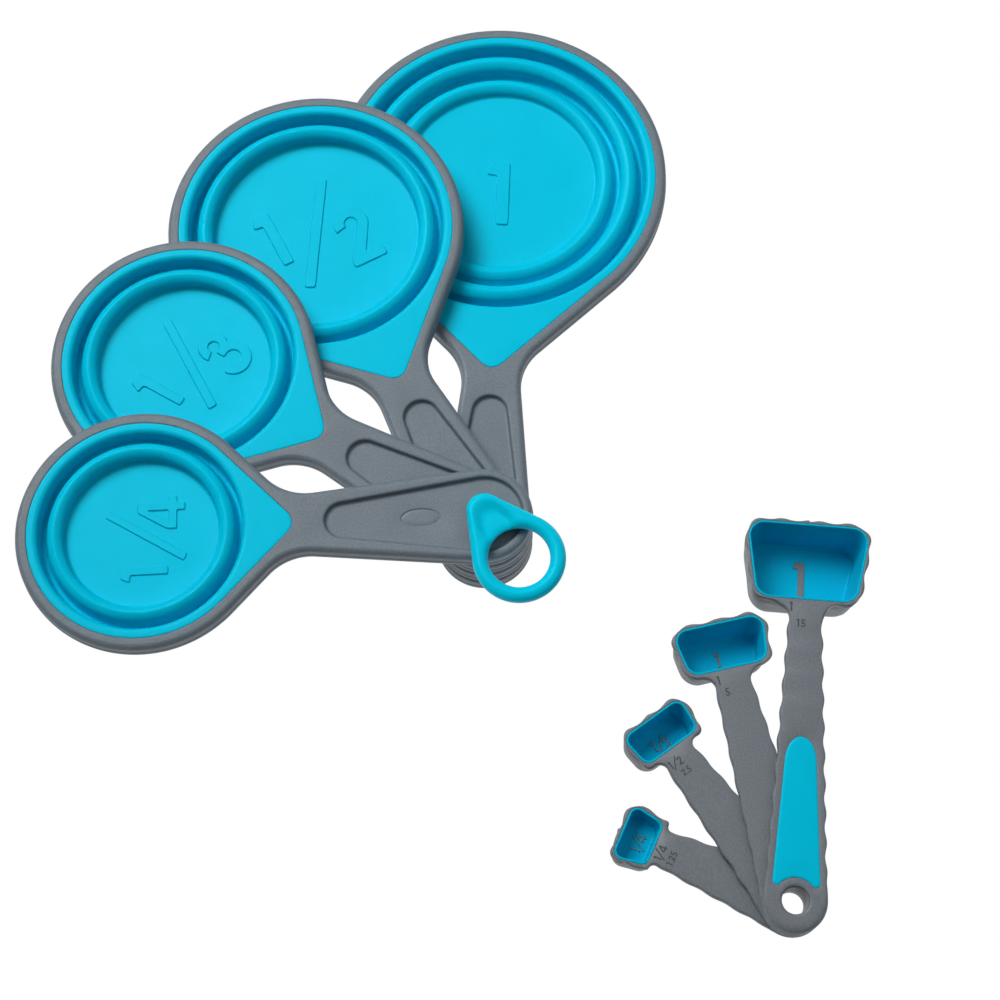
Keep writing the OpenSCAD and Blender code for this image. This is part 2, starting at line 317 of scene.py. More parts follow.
def rough_noise(nodes, links, bsdf, where, scale, low, high):
    """Lets the roughness drift between two values."""
    noise = nodes.new("ShaderNodeTexNoise")
    noise.inputs["Scale"].default_value = scale
    noise.inputs["Detail"].default_value = 4.0
    spread = nodes.new("ShaderNodeMapRange")
    spread.inputs["From Min"].default_value = NOISE_LOW
    spread.inputs["From Max"].default_value = NOISE_HIGH
    spread.inputs["To Min"].default_value = low
    spread.inputs["To Max"].default_value = high
    links.new(where.outputs["Object"], noise.inputs["Vector"])
    links.new(noise.outputs["Fac"], spread.inputs["Value"])
    links.new(spread.outputs["Result"], bsdf.inputs["Roughness"])


def grey_plastic(name, colour):
    """Moulded polypropylene with a fine spark-eroded grain and a slight drift of tone."""
    material, nodes, links, bsdf, tone = shader(name, colour, 0.5)
    dark, light = [c * 0.90 for c in tone], [min(1, c * 1.10) for c in tone]
    where = mottled(nodes, links, bsdf.inputs["Base Color"], (dark, light), 1500, 2.0)
    grain(nodes, links, bsdf, where, [(60, 0.10, 0.0006), (1700, 0.22, 0.00010)])
    rough_noise(nodes, links, bsdf, where, 220, 0.44, 0.58)
    bsdf.inputs["Specular IOR Level"].default_value = 0.42
    return material


def silicone(name, colour, dimples=0.0):
    """Satin silicone rubber: a deep even colour with a faint tooth and patchy gloss."""
    material, nodes, links, bsdf, tone = shader(name, colour, 0.4)
    dark, light = [c * 0.985 for c in tone], [min(1, c * 1.015) for c in tone]
    where = mottled(nodes, links, bsdf.inputs["Base Color"], (dark, light), 90, 4.0)
    grain(nodes, links, bsdf, where, [(420, 0.1 + dimples, 0.0002), (1500, 0.5, 0.0001)])
    rough_noise(nodes, links, bsdf, where, 160, 0.32, 0.40)
    bsdf.inputs["Specular IOR Level"].default_value = 0.22
    bsdf.inputs["Specular Tint"].default_value = (0.12, 0.9, 1.0, 1)
    return material


# Colours as sRGB, 0 to 255
GREY_CUP = grey_plastic("cup_grey_plastic", (102, 114, 123))
GREY_SPOON = grey_plastic("spoon_grey_plastic", (106, 113, 119))
# painted shade: a dark grey for the handles' side numerals, standing for the shadow inside numerals sunk
# into the plastic
ENGRAVING_SHADE = grey_plastic("engraving_painted_shade", (58, 64, 70))
PALE_MARK = grey_plastic("mark_pale_plastic", (84, 136, 152))
BLUE_CUP = silicone("cup_silicone", (0, 190, 222))
BLUE_RING = silicone("ring_plastic", (0, 194, 224))
BLUE_LINER = silicone("liner_silicone", (0, 172, 208))
BLUE_GRIP = silicone("grip_silicone", (0, 186, 218), 0.25)


# ---------------------------------------------------------------- what the frame says about each cup
def centre_of(node):
    low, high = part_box(node)
    return (low + high) / 2 / MM


class Cup:
    """One cup's measures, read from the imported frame, in millimetres from its pivot and its top."""

    def __init__(self, name):
        self.name = name
        self.fold = FOLD_PITCH[name]
        self.folds = FOLDS[name]
        middle = centre_of(name + "_base")
        self.turn = atan2(middle.y, middle.x)
        self.reach = hypot(middle.x, middle.y)
        low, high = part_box(name + "_rim")
        self.top = high.z / MM
        self.wall_h = (high.z - low.z) / MM - WALL_T
        self.rim_r = TIP_R + (self.reach - TIP_TO_PIVOT - TIP_R) * cos(FLANK)
        self.wall_r = self.rim_r - PLATE_W
        self.floor_r = self.wall_r - (self.folds - 1 + CREST_AT + CREST_HALF) * self.fold - WALL_LEAN
        self.floor_z = -self.wall_h + FLOOR_RISE

    def valley_r(self, j):
        return self.wall_r - (j + VALLEY_AT) * self.fold

    def crest_r(self, j):
        return self.wall_r - (j + CREST_AT) * self.fold

    def place(self, obj):
        return place(obj, Vector((0, 0, self.top)) * MM, self.turn)

    # Sections of the folded wall are (radius, height) on the bowl side, then back on the under side
    def valley(self, j, a0, a1, out):
        r = VALLEY_SHARE * self.fold
        return arc(self.valley_r(j), -self.wall_h + r, r + out, a0, a1, 12)

    def crest_z(self, j):
        return -CREST_DROP - CREST_STEP * j

    def crest_half(self, j, side, inset=0.0):
        """Half of a pleat's arched crest: up its outer side, or down its inner, without the top point."""
        a, b = CREST_HALF * self.fold - inset, CREST_ARCH - inset
        shape = 2 / CREST_PEAK
        foot = self.crest_z(j) - inset - b
        points = [(self.crest_r(j) + side * a * cos(t) ** shape, foot + b * sin(t) ** shape)
                  for t in map(radians, (0, 12, 24, 34, 44, 53, 61, 68, 74, 79, 84))]
        return points if side > 0 else points[::-1]

    def crest_split(self, j):
        """Where the two pieces that share a crest meet, on the bowl side and on the under side."""
        r, z = self.crest_r(j), self.crest_z(j)
        return (r, z), (r, z - WALL_T)

    def pleat_section(self, j):
        top, under = self.crest_split(j)
        front, back = self.valley(j, -90, -180, 0), self.valley(j, -180, -90, WALL_T)
        over, below = self.crest_half(j, 1), self.crest_half(j, 1, WALL_T)[::-1]
        return (front + slope(front[-1], over[0]) + over + [top, under]
                + below + slope(below[-1], back[0]) + back)

    def tier_section(self, j):
        top, under = self.crest_split(j)
        front, back = self.valley(j + 1, 0, -90, 0), self.valley(j + 1, -90, 0, WALL_T)
        over, below = self.crest_half(j, -1), self.crest_half(j, -1, WALL_T)[::-1]
        return ([top] + over + slope(over[-1], front[0]) + front + back + slope(back[-1], below[0]) + below
                + [under])

    def base_section(self):
        j = self.folds - 1
        top, under = self.crest_split(j)
        r, z = self.floor_r, self.floor_z
        over, below = self.crest_half(j, -1), self.crest_half(j, -1, WALL_T)[::-1]
        foot = arc(r - FOOT_CURVE, z + FOOT_CURVE, FOOT_CURVE, 0, -90, 10)
        low = z - FLOOR_T
        heel = arc(r - HEEL_IN, z + HEEL_UP, HEEL_CURVE, -90, -15, 6)
        return ([top] + over + slope(over[-1], foot[0]) + foot + [(r * 0.72, z), (r * 0.4, z), (0, z)]
                + [(0, low), (r * 0.6, low)] + heel + below + [under])


def slope(a, b, n=5):
    """Points strictly between two ends of a straight wall."""
    return [(a[0] + (b[0] - a[0]) * i / n, a[1] + (b[1] - a[1]) * i / n) for i in range(1, n)]


# ---------------------------------------------------------------- cup frames
def plate_outline(cup):
    lean = degrees(FLANK)
    return (arc(cup.reach, 0, cup.rim_r, lean - 180, 180 - lean, 220)
            + arc(TIP_TO_PIVOT + TIP_R, 0, TIP_R, 180 - lean, 180 + lean, 20))


def frame_outline(cup):
    """Bowl band, straight flanks, hollow fillets and tapered handle, counter-clockwise.

    The fillet's centre is where the flank and the handle's side, both moved out by its radius, meet.
    """
    flank = (-cos(FLANK), sin(FLANK))
    side = (sin(HANDLE_TAPER), cos(HANDLE_TAPER))
    b1 = flank[0] * cup.reach + cup.rim_r + BAND + NECK_FILLET
    b2 = HANDLE_R + NECK_FILLET
    det = flank[0] * side[1] - flank[1] * side[0]
    fx, fy = (b1 * side[1] - b2 * flank[1]) / det, (flank[0] * b2 - side[0] * b1) / det
    lean, taper = degrees(FLANK), degrees(HANDLE_TAPER)
    upper = (arc(cup.reach, 0, cup.rim_r + BAND, 0, 180 - lean, 140)
             + arc(fx, fy, NECK_FILLET, -lean, -90 - taper, 24)
             + arc(0, 0, HANDLE_R, 90 - taper, 180, 48))
    return upper + [(x, -y) for x, y in reversed(upper[1:-1])]


def oval(cx, a, b, n=72):
    return [(cx + a * cos(2 * pi * i / n), b * sin(2 * pi * i / n)) for i in range(n)]


SKIRT = 2.0               # radius of the frame's rounded top edge
HEEL = 1.0                # radius of its bottom edge
WAIST = 0.25              # how far the upper half of the edge stands in from the lower
PART_LINE_Z = -4.3        # height of the step between them


# Profiles are (how far out, height) from an outline, and the oval's heights are from the pocket's floor
SEAT_LIP = [(0.7, 0), (0.28, 0), (0.1, -0.06), (0.02, -0.2), (0, -PLATE_T)]
OVAL_AT, OVAL_LONG, OVAL_WIDE = 21.5, 6.6, 3.1      # the oval pressed into each pocket's floor
OVAL_PRESS = [(0.7, 0), (0.3, -0.05), (0.1, -0.3), (-0.15, -0.34), (-0.5, -0.22), (-1.2, -0.12),
              (-2.1, -0.1)]
POCKET_LIP, POCKET_TOE, POCKET_CURVE = 0.9, 0.9, 0.8
POCKET_WALL_IN = 0.1
HUB_PLAY = 0.15           # gap between a hub and the pocket's floor under it
FRAME_STEP, POCKET_STEP = 0.9, 0.8        # spacing of the outlines' points


def skirt_profile():
    """The frame's edge from its flat top round to its flat bottom."""
    top = [(WAIST + SKIRT * (1 - sin(radians(a))), -SKIRT * (1 - cos(radians(a)))) for a in range(0, 91, 10)]
    step = [(WAIST, PART_LINE_Z + 0.4), (WAIST * 0.8, PART_LINE_Z + 0.15), (WAIST * 0.4, PART_LINE_Z),
            (WAIST * 0.1, PART_LINE_Z - 0.15), (0.0, PART_LINE_Z - 0.4)]
    low = [(HEEL * (1 - cos(radians(a))), -FRAME_T + HEEL * (1 - sin(radians(a)))) for a in range(0, 91, 15)]
    insets = [(WAIST + SKIRT + 0.05, 0)] + top + step + low + [(HEEL + 0.5, -FRAME_T)]
    return [(-inset, z) for inset, z in insets]


def cup_frame(cup):
    build = Build()
    rings = build.wall(even(frame_outline(cup), FRAME_STEP), skirt_profile())

    # the seat that the silicone's rim plate is moulded into
    seat_rings = build.wall(even(plate_outline(cup), FRAME_STEP), SEAT_LIP)
    open_r = cup.wall_r + WALL_T + BOWL_GAP
    mouth = [(open_r, -PLATE_T), (open_r, -FRAME_T + 0.6), (open_r + 0.2, -FRAME_T + 0.15),
             (open_r + 0.6, -FRAME_T)]
    mouth_rings = build.tube(mouth, 240, cup.reach)
    build.fill(seat_rings[-1], mouth_rings[0])

    # the handle's pocket, with a rounded lip and a soft corner at its floor
    pocket = even(strap(HANDLE_R - POCKET_RIM, POCKET_TIP_R, POCKET_FAR - POCKET_TIP_R), POCKET_STEP)
    turns = [radians(a) for a in range(0, 91, 15)]
    lip = [(POCKET_LIP - POCKET_LIP * sin(a), -POCKET_CURVE * (1 - cos(a))) for a in turns]
    toe = [(-POCKET_WALL_IN - POCKET_TOE * (1 - cos(a)), -POCKET_D + POCKET_CURVE * (1 - sin(a)))
           for a in turns]
    pocket_rings = build.wall(pocket, lip + toe + [(-1.5, -POCKET_D)])

    # a shallow oval pressed into the pocket's floor
    oval_rings = [build.ring(oval(OVAL_AT, OVAL_LONG + by, OVAL_WIDE + by * 0.9), -POCKET_D + z)
                  for by, z in OVAL_PRESS]
    build.skins(oval_rings)
    build.fill(oval_rings[-1])

    # the hub under an upper handle, and the pivot hole
    below = BELOW.get(cup.name)
    low = -FRAME_T if below is None else cups[below].top - POCKET_D + HUB_PLAY - cup.top
    hole_top, hole_low = build.tube([(HOLE_R, -POCKET_D), (HOLE_R, low)], 64)
    build.fill(pocket_rings[-1], oval_rings[0], hole_top)
    if below is None:
        build.fill(rings[-1], mouth_rings[-1], hole_low)
    else:
        hub = [(HUB_R + 0.6, -FRAME_T), (HUB_R + 0.15, -FRAME_T - 0.15), (HUB_R, -FRAME_T - 0.6),
               (HUB_R, low + 0.4), (HUB_R - 0.4, low)]
        hub_rings = build.tube(hub, 96)
        build.fill(rings[-1], mouth_rings[-1], hub_rings[0])
        build.fill(hub_rings[-1], hole_low)
    build.fill(rings[0], seat_rings[0], pocket_rings[0])
    return cup.place(build.piece(cup.name + "_cup_frame", GREY_CUP))


# ---------------------------------------------------------------- silicone bowls
PLATE_FLAT_IN = 0.7       # where the rim plate's softened edge ends


def cup_rim(cup):
    """The rim plate with the bowl's outer wall, to the bottom of the first valley."""
    build = Build()
    steps = 288
    angles = [2 * pi * i / steps for i in range(steps)]

    def teardrop(a, inset):
        """Distance from the bowl's centre to the plate's edge at an angle."""
        r, tip = cup.rim_r - inset, TIP_R - inset
        to_tip = abs(a % (2 * pi) - pi)
        if to_tip > FLANK:
            return r
        centre = cup.reach - TIP_TO_PIVOT - TIP_R
        edge = r / cos(FLANK - to_tip)
        across = centre * sin(to_tip)
        if across < tip:
            round_r = centre * cos(to_tip) + sqrt(tip * tip - across * across)
            touch = atan2(tip * sin(FLANK), centre + tip * cos(FLANK))
            if to_tip < touch:
                return round_r
        return edge

    def plate_ring(inset, z):
        return build.ring([(cup.reach + teardrop(a, inset) * cos(a), teardrop(a, inset) * sin(a))
                           for a in angles], z)

    def circle(r, z):
        return build.ring([(cup.reach + r * cos(a), r * sin(a)) for a in angles], z)

    front = cup.valley(0, 0, -90, 0)
    back = cup.valley(0, -90, 0, WALL_T)
    start = (cup.wall_r - 0.1, -PLATE_EDGE)
    flat_r = cup.wall_r + PLATE_EDGE
    edge = [(flat_r - (PLATE_EDGE + 0.1) * sin(radians(a)), PLATE_EDGE * (cos(radians(a)) - 1))
            for a in range(0, 91, 9)]
    inner = edge + slope(start, front[0], 6) + front
    outer = back + slope(back[-1], (cup.wall_r + WALL_T, -PLATE_T), 5) + [(cup.wall_r + WALL_T, -PLATE_T)]
    rings = [plate_ring(inset, z) for inset, z in
             [(0.0, -PLATE_T), (0.0, -0.35), (0.08, -0.12), (0.3, -0.02), (PLATE_FLAT_IN, 0.0)]]
    for share in (0.25, 0.5, 0.75):       # from the plate's outline to the bowl's round mouth
        loop = []
        for a in angles:
            r = teardrop(a, PLATE_FLAT_IN) * (1 - share) + (flat_r + 0.2) * share
            loop.append((cup.reach + r * cos(a), r * sin(a)))
        rings.append(build.ring(loop, 0.0))
    rings += [circle(flat_r + 0.2, 0.0)] + [circle(r, z) for r, z in inner + outer]
    build.skins(rings)
    build.skin(rings[-1], rings[0])
    return cup.place(build.piece(cup.name + "_cup_rim", BLUE_CUP))


def bowl_ring(cup, name, section, steps=240):
    build = Build()
    build.revolve(section, cup.reach, steps)
    return cup.place(build.piece(name, BLUE_CUP))


# ---------------------------------------------------------------- numerals
STEM = 0.178              # width of a stroke, as a share of the numeral's height


def glyph(kind):
    """Outlines of a numeral one unit high, standing on the origin: the outer one, then any hole."""
    if kind == "1":
        return [[(0, 0), (STEM, 0), (STEM, 1), (-0.075, 1), (-0.155, 0.8), (0, 0.785)]]
    if kind == "2":
        hook = arc(0.272, 0.727, 0.274, -37, 193, 26)
        back = arc(0.272, 0.727, 0.1, 193, -37, 16)
        return [[(0, 0), (0.553, 0), (0.553, 0.173), (0.262, 0.173)] + hook + back + [(0, 0.12)]]
    if kind == "3":
        lower = arc(0.3, 0.32, 0.32, -175, 52, 26)
        upper = arc(0.295, 0.725, 0.275, -22, 193, 24)
        return [lower + upper + arc(0.295, 0.725, 0.1, 193, -85, 16) + [(0.225, 0.622), (0.225, 0.462)]
                + arc(0.3, 0.32, 0.145, 84, -175, 18)]
    if kind == "4":
        return [[(0, 0.17), (0.41, 0.17), (0.41, 0), (0.585, 0), (0.585, 0.17), (0.74, 0.17), (0.74, 0.34),
                 (0.585, 0.34), (0.585, 1), (0.37, 1), (0, 0.38)],
                [(0.41, 0.34), (0.41, 0.79), (0.165, 0.34)]]
    if kind == "5":
        flag = [(0.235, 0.83), (0.53, 0.83), (0.53, 1), (0.085, 1), (0.05, 0.44), (0.18, 0.42)]
        return [arc(0.25, 0.31, 0.31, -160, 95, 24) + flag + arc(0.25, 0.31, 0.14, 130, -160, 18)]
    if kind == ".":
        return [[(0, 0), (0.16, 0), (0.16, 0.16), (0, 0.16)]]
    # the bar of a fraction, centred on the origin
    x, y, side = 0.51, 0.83, STEM * 0.43
    return [[(-x - side, -y + side / 2), (-x + side, -y - side / 2), (x + side, y - side / 2),
             (x - side, y + side / 2)]]


def area_of(loop):
    return sum(a[0] * b[1] - b[0] * a[1] for a, b in zip(loop, loop[1:] + loop[:1])) / 2


def softened(loop, r):
    """The outline with its sharp corners rounded off."""
    out, n = [], len(loop)
    for i in range(n):
        a, p, b = Vector(loop[i - 1]), Vector(loop[i]), Vector(loop[(i + 1) % n])
        if (p - a).angle(b - p, 0) < radians(24):
            out.append(tuple(p))
            continue
        cut = min(r, (p - a).length * 0.4, (b - p).length * 0.4)
        p0, p1 = p + (a - p).normalized() * cut, p + (b - p).normalized() * cut
        for t in (0, 0.25, 0.5, 0.75, 1):
            q = p0 * (1 - t) ** 2 + p * (2 * t * (1 - t)) + p1 * t * t
            out.append((q.x, q.y))
    return out


def shrink(loop, by):
    """Moves every edge of a counter-clockwise outline in, or out when by is negative."""
    out, n = [], len(loop)
    for i in range(n):
        a, p, b = Vector(loop[i - 1]), Vector(loop[i]), Vector(loop[(i + 1) % n])
        d0, d1 = (p - a).normalized(), (b - p).normalized()
        n0, n1 = Vector((-d0.y, d0.x)), Vector((-d1.y, d1.x))
        move = (n0 + n1) / max(0.5, 1 + n0.dot(n1))
        out.append((p.x + move.x * by, p.y + move.y * by))
    return out


NUMERAL_CORNER = 0.045    # rounding of the corners, as a share of the numeral's height
NUMERAL_EDGE = [(-0.5, 0), (0, 0.45), (0.45, 0.9), (1, 1), (1.25, 1)]   # shares of the bevel and the lift


def write(build, text, place_at, base, lift, bevel):
    """Adds numerals that stand proud; text holds (numeral, left, foot, height) in millimetres."""
    for kind, left, foot, height in text:
        loops = []
        for i, outline in enumerate(glyph(kind)):
            loop = [place_at(left + x * height, foot + y * height) for x, y in outline]
            if area_of(loop) < 0:
                loop.reverse()
            loops.append((softened(loop, NUMERAL_CORNER * height), 1 if i == 0 else -1))
        foot_rings, top_rings = [], []
        for loop, way in loops:
            rings = [build.ring(shrink(loop, by * bevel * way), base + share * lift)
                     for by, share in NUMERAL_EDGE]
            build.skins(rings)
            foot_rings.append(rings[0])
            top_rings.append(rings[-1])
        build.fill(*foot_rings)
        build.fill(*top_rings)


NUMERAL_ROOT = 0.05       # how deep a numeral starts inside its floor
CUP_NUMERAL_LIFT, CUP_NUMERAL_BEVEL = 0.65, 0.24
# What stands on each floor: numeral, its left edge and foot (a bar's middle) from the floor's centre,
# and its height
CUP_TEXT = {
    "one": [("1", -0.9, -18.5, 26.3)],
    "half": [("1", -16.4, -6.2, 22.9), ("/", -0.2, 0.6, 22.9), ("2", 6.5, -19.1, 23.7)],
    "third": [("1", -13.9, -6.6, 19.4), ("/", 1.3, -0.9, 19.4), ("3", 5.0, -19.6, 20.4)],
    "quarter": [("1", -14.6, -8.8, 16.2), ("/", -0.6, -1.2, 16.2), ("4", 1.6, -14.4, 16.2)],
}


def cup_numeral(cup):
    """The capacity, moulded proud of the bowl's floor, with its top away from the handle."""
    build = Build()

    def place_at(right, up):
        return cup.reach + up, -right

    write(build, CUP_TEXT[cup.name], place_at, cup.floor_z - NUMERAL_ROOT,
          CUP_NUMERAL_LIFT, CUP_NUMERAL_BEVEL)
    return cup.place(build.piece(cup.name + "_cup_numeral", BLUE_CUP, 60))


cups = {name: Cup(name) for name in CUPS}

for name in CUPS:
    cup = cups[name]
    settle(cup_frame(cup), name + "_cup", "frame_grey", name + "_frame")
    settle(cup_rim(cup), name + "_cup", "cup_silicone", name + "_rim")
    base = bowl_ring(cup, name + "_cup_base", cup.base_section())
    settle(base, name + "_bowl_base", "cup_silicone", name + "_base")
    settle(cup_numeral(cup), name + "_bowl_base", "cup_silicone")


def pleat(cup, j, name, node):
    """Makes a pleat's ring, from the valley of the wall outside it to the crest of the wall inside it, and
    bakes it in place.
    """
    obj = bowl_ring(cup, name, cup.pleat_section(j))
    crest = Vector((0, 0, cup.top + cup.crest_z(j) - WALL_T)) * MM
    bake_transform(obj)
    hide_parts(node)


one = cups["one"]
pleat(one, 0, "one_cup_outer_pleat", "one_outer_pleat")
pleat(one, 1, "one_cup_inner_pleat", "one_inner_pleat")
tier = bowl_ring(one, "one_cup_middle_tier", one.tier_section(0))
settle(tier, "one_tier", "cup_silicone", "one_middle_tier")
for name in CUPS[1:]:
    pleat(cups[name], 0, name + "_cup_pleat", name + "_pleat")


# ---------------------------------------------------------------- hanging ring
RING_R, RING_HOLE, RING_T = 15.7, 10.4, 5.2      # outer and inner radius, and thickness
RING_REACH = 20.5         # from the post's axis to the ring's centre
RING_APEX = 6.0           # radius of its point over the post
POST_R, FOOT_R, FOOT_T = 3.5, 10.5, 1.4
SHOULDER_R = 4.4          # the post where it stands on the top handle
WEB_SINK = 1.6            # how far the web between ring and post is hollowed


def hanging_ring():
    """One moulding: a round-sectioned ring with a hollowed web, the post and its foot."""
    ring_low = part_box("hanging_ring")[1].z / MM - RING_T
    tube = (RING_R - RING_HOLE) / 2
    half_t = RING_T / 2
    build = Build()
    steps = 240
    edge = acos((RING_R - RING_APEX) / RING_REACH)
    touch = atan2(RING_APEX * sin(edge), RING_REACH + RING_APEX * cos(edge))
    across = []
    for i in range(steps):
        a = 2 * pi * i / steps
        to_apex = abs(a - pi)
        if to_apex >= edge:
            r = RING_R
        elif to_apex >= touch:
            r = RING_R / cos(edge - to_apex)
        else:
            r = RING_REACH * cos(to_apex) + sqrt(RING_APEX ** 2 - (RING_REACH * sin(to_apex)) ** 2)
        across.append((a, r))
    top_rings, low_rings = [], []
    for share in [0.5 - 0.5 * cos(pi * k / 26) for k in range(27)]:
        loop, up, down = [], [], []
        for a, r in across:
            wide = r - RING_HOLE
            from_out, from_in = share * wide, (1 - share) * wide
            near = min(from_out, from_in, tube)
            rise = sqrt(max(0.0, 1 - (1 - near / tube) ** 2))
            spare = smooth_step((wide - 2 * tube) / 7)
            sink = WEB_SINK * spare * smooth_step((from_out - tube) / 5.5)
            loop.append((RING_REACH + (RING_HOLE + from_in) * cos(a), (RING_HOLE + from_in) * sin(a)))
            up.append(ring_low + half_t + (half_t - sink) * rise)
            down.append(ring_low + half_t - half_t * rise)
        top_rings.append(build.ring(loop, up))
        low_rings.append(build.ring(loop, down))
    build.skins(top_rings)
    build.skins(low_rings)
    shoulder = cups["quarter"].top - POCKET_D + HUB_PLAY
    section = [(0, 0), (FOOT_R - 0.4, 0), (FOOT_R, 0.4), (FOOT_R, FOOT_T - 0.4), (FOOT_R - 0.4, FOOT_T),
               (POST_R + 0.3, FOOT_T), (POST_R, FOOT_T + 0.3), (POST_R, shoulder),
               (SHOULDER_R - 0.2, shoulder), (SHOULDER_R, shoulder + 0.2), (SHOULDER_R, ring_low + half_t),
               (0, ring_low + half_t)]
    build.revolve(section, 0, 64, closed=False)
    return build.piece("ring_with_post", BLUE_RING)


def ring_turn():
    """Direction of the ring, from where its box reaches past the foot's."""
    low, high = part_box("hanging_ring")
    return atan2(low.y / MM + RING_R, high.x / MM - RING_R)


ring = hanging_ring()
place(ring, Vector((0, 0, 0)), ring_turn())
settle(ring, "ring", "ring_blue", "hanging_ring")


# ---------------------------------------------------------------- spoons
SPOON_END_R = 10.6        # radius of each handle's round end
SPOON_T = 3.1             # thickness of the handles
LINER_T, SHELL_T = 0.8, 1.5
SNAP_R, HANG_R = 5.7, 4.4     # the hollow post's outer and inner radius
SNAP_LOW, BEAD_R = 6.2, 6.3   # height of its lower end, and radius of the bead that holds the spoons
GRIP_T = 0.8
GRIP_END_R, GRIP_REACH, GRIP_FLARE = 5.1, 49, 3
GRIP_TIP_BACK, GRIP_TIP_LONG, GRIP_TIP_WIDE = 4, 9, 5.3     # the oval that rounds its tip
GRIP_FROM, NOTCH_R = 4.5, 7.3     # where the grip starts, and the hollow round the hole
SCALLOP_PITCH = 9.6
SCALLOP_GRIP, SCALLOP_BOWL = 0.7, 0.8       # depth of the waves along the handle and round the bowl
LIP_IN, LIP_DOWN = 1.0, 1.1
SHELL_FOOT, SHELL_CURVE = 0.15, 1.8         # the bottom corner's share of the height, and its radius
SHELL_GROOVE = 0.5        # how far the shell stands in just under the rim
LINER_CURVE = 0.7         # radius of the liner's floor corner
SPOONS = [
    # name, reach, turn, far width, near width, length, draft, corner radius, neck half width
    ("tablespoon", 115.4, 85.1, 41.4, 32.8, 25.8, 1.6, 4.8, 5.7),
    ("teaspoon", 88.4, 103.0, 31.0, 25.9, 15.0, 1.3, 3.9, 6.3),
    ("half_teaspoon", 70.1, 126.0, 22.9, 20.4, 11.0, 0.8, 2.6, 6.1),
    ("quarter_teaspoon", 54.2, 156.0, 17.7, 13.9, 10.5, 0.6, 2.2, 6.2),
]
PIVOT = Vector(next(j for j in frame["joints"] if j["name"] == "teaspoon_swivel")["pos_m"]) / MM


def rounded_polygon(corners, radii, n=10):
    """A closed outline whose corners are arcs; corners run counter-clockwise."""
    out = []
    count = len(corners)
    for i in range(count):
        a, p, b = Vector(corners[i - 1]), Vector(corners[i]), Vector(corners[(i + 1) % count])
        u, v = (a - p).normalized(), (b - p).normalized()
        half = u.angle(v) / 2
        r = radii[i]
        if r < 1e-6:
            out.append(tuple(p))
            continue
        back = r / sin(half)
        mid = (u + v).normalized()
        c = p + mid * back
        foot0 = p + u * (back * cos(half))
        foot1 = p + v * (back * cos(half))
        a0 = atan2(foot0.y - c.y, foot0.x - c.x)
        turn = atan2(foot1.y - c.y, foot1.x - c.x) - a0
        turn = (turn + pi) % (2 * pi) - pi
        out += [(c.x + r * cos(a0 + turn * k / n), c.y + r * sin(a0 + turn * k / n)) for k in range(n + 1)]
    return out


class Spoon:
    """One spoon's measures, in millimetres from the snap post's axis and its own top."""

    def __init__(self, name, reach, turn, far, near, length, draft, corner, neck):
        self.name, self.reach, self.turn = name, reach, radians(turn)
        self.far, self.near, self.length = far, near, length
        self.draft, self.corner, self.neck = draft, corner, neck
        low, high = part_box(name + "_liner")
        self.top = high.z / MM
        self.depth = (high.z - low.z) / MM - LINER_T

    def place(self, obj):
        return place(obj, Vector((PIVOT.x, PIVOT.y, self.top)) * MM, self.turn)

    def bowl(self, grow, lean=0.0, n=10):
        """The bowl's outline, grown outward and drawn in by its draft."""
        x0, x1 = self.reach - self.length / 2 + lean - grow, self.reach + self.length / 2 - lean + grow
        y0, y1 = self.near / 2 - lean + grow, self.far / 2 - lean + grow
        r = max(0.4, self.corner + grow)
        return rounded_polygon([(x1, -y1), (x1, y1), (x0, y0), (x0, -y0)], [r] * 4, n)


spoons = [Spoon(*row) for row in SPOONS]


def spoon_outline(spoon, grow):
    """The top plate: round end, tapering handle, hollow fillets and the rim round the bowl."""
    x0 = spoon.reach - spoon.length / 2 - grow
    x1 = spoon.reach + spoon.length / 2 + grow
    y0, y1 = spoon.near / 2 + grow, spoon.far / 2 + grow
    r = spoon.corner + grow
    lean = asin((SPOON_END_R - spoon.neck) / x0)
    neck_y = SPOON_END_R / cos(lean) - x0 * tan(lean)
    step = y0 - neck_y
    end = arc(0, 0, SPOON_END_R, 90 - degrees(lean), 180, 24)
    half = rounded_polygon(
        [(x1, 0), (x1, y1), (x0, y0), (x0, neck_y), end[0], (0, 0)],
        [0, r, step * 0.5, step * 0.45, 0, 0])[:-2]
    upper = half + end
    return upper + [(x, -y) for x, y in reversed(upper[1:-1])]


def scalloped(loop, normals, amounts, bowl_from=0.0, phase=0.0):
    """Waves an outline in and out, by one amount along the handle and another round the bowl."""
    walked, out = 0.0, []
    for i, (p, n) in enumerate(zip(loop, normals)):
        walked += hypot(p[0] - loop[i - 1][0], p[1] - loop[i - 1][1])
        on_bowl = smooth_step((p[0] - bowl_from) / 8 + 1)
        amount = amounts[0] + (amounts[1] - amounts[0]) * on_bowl
        fade = smooth_step((p[0] - 2) / 10)
        wave = (cos(2 * pi * walked / SCALLOP_PITCH + phase) - 1) / 2 * amount * fade
        out.append((p[0] + n[0] * wave, p[1] + n[1] * wave))
    return out


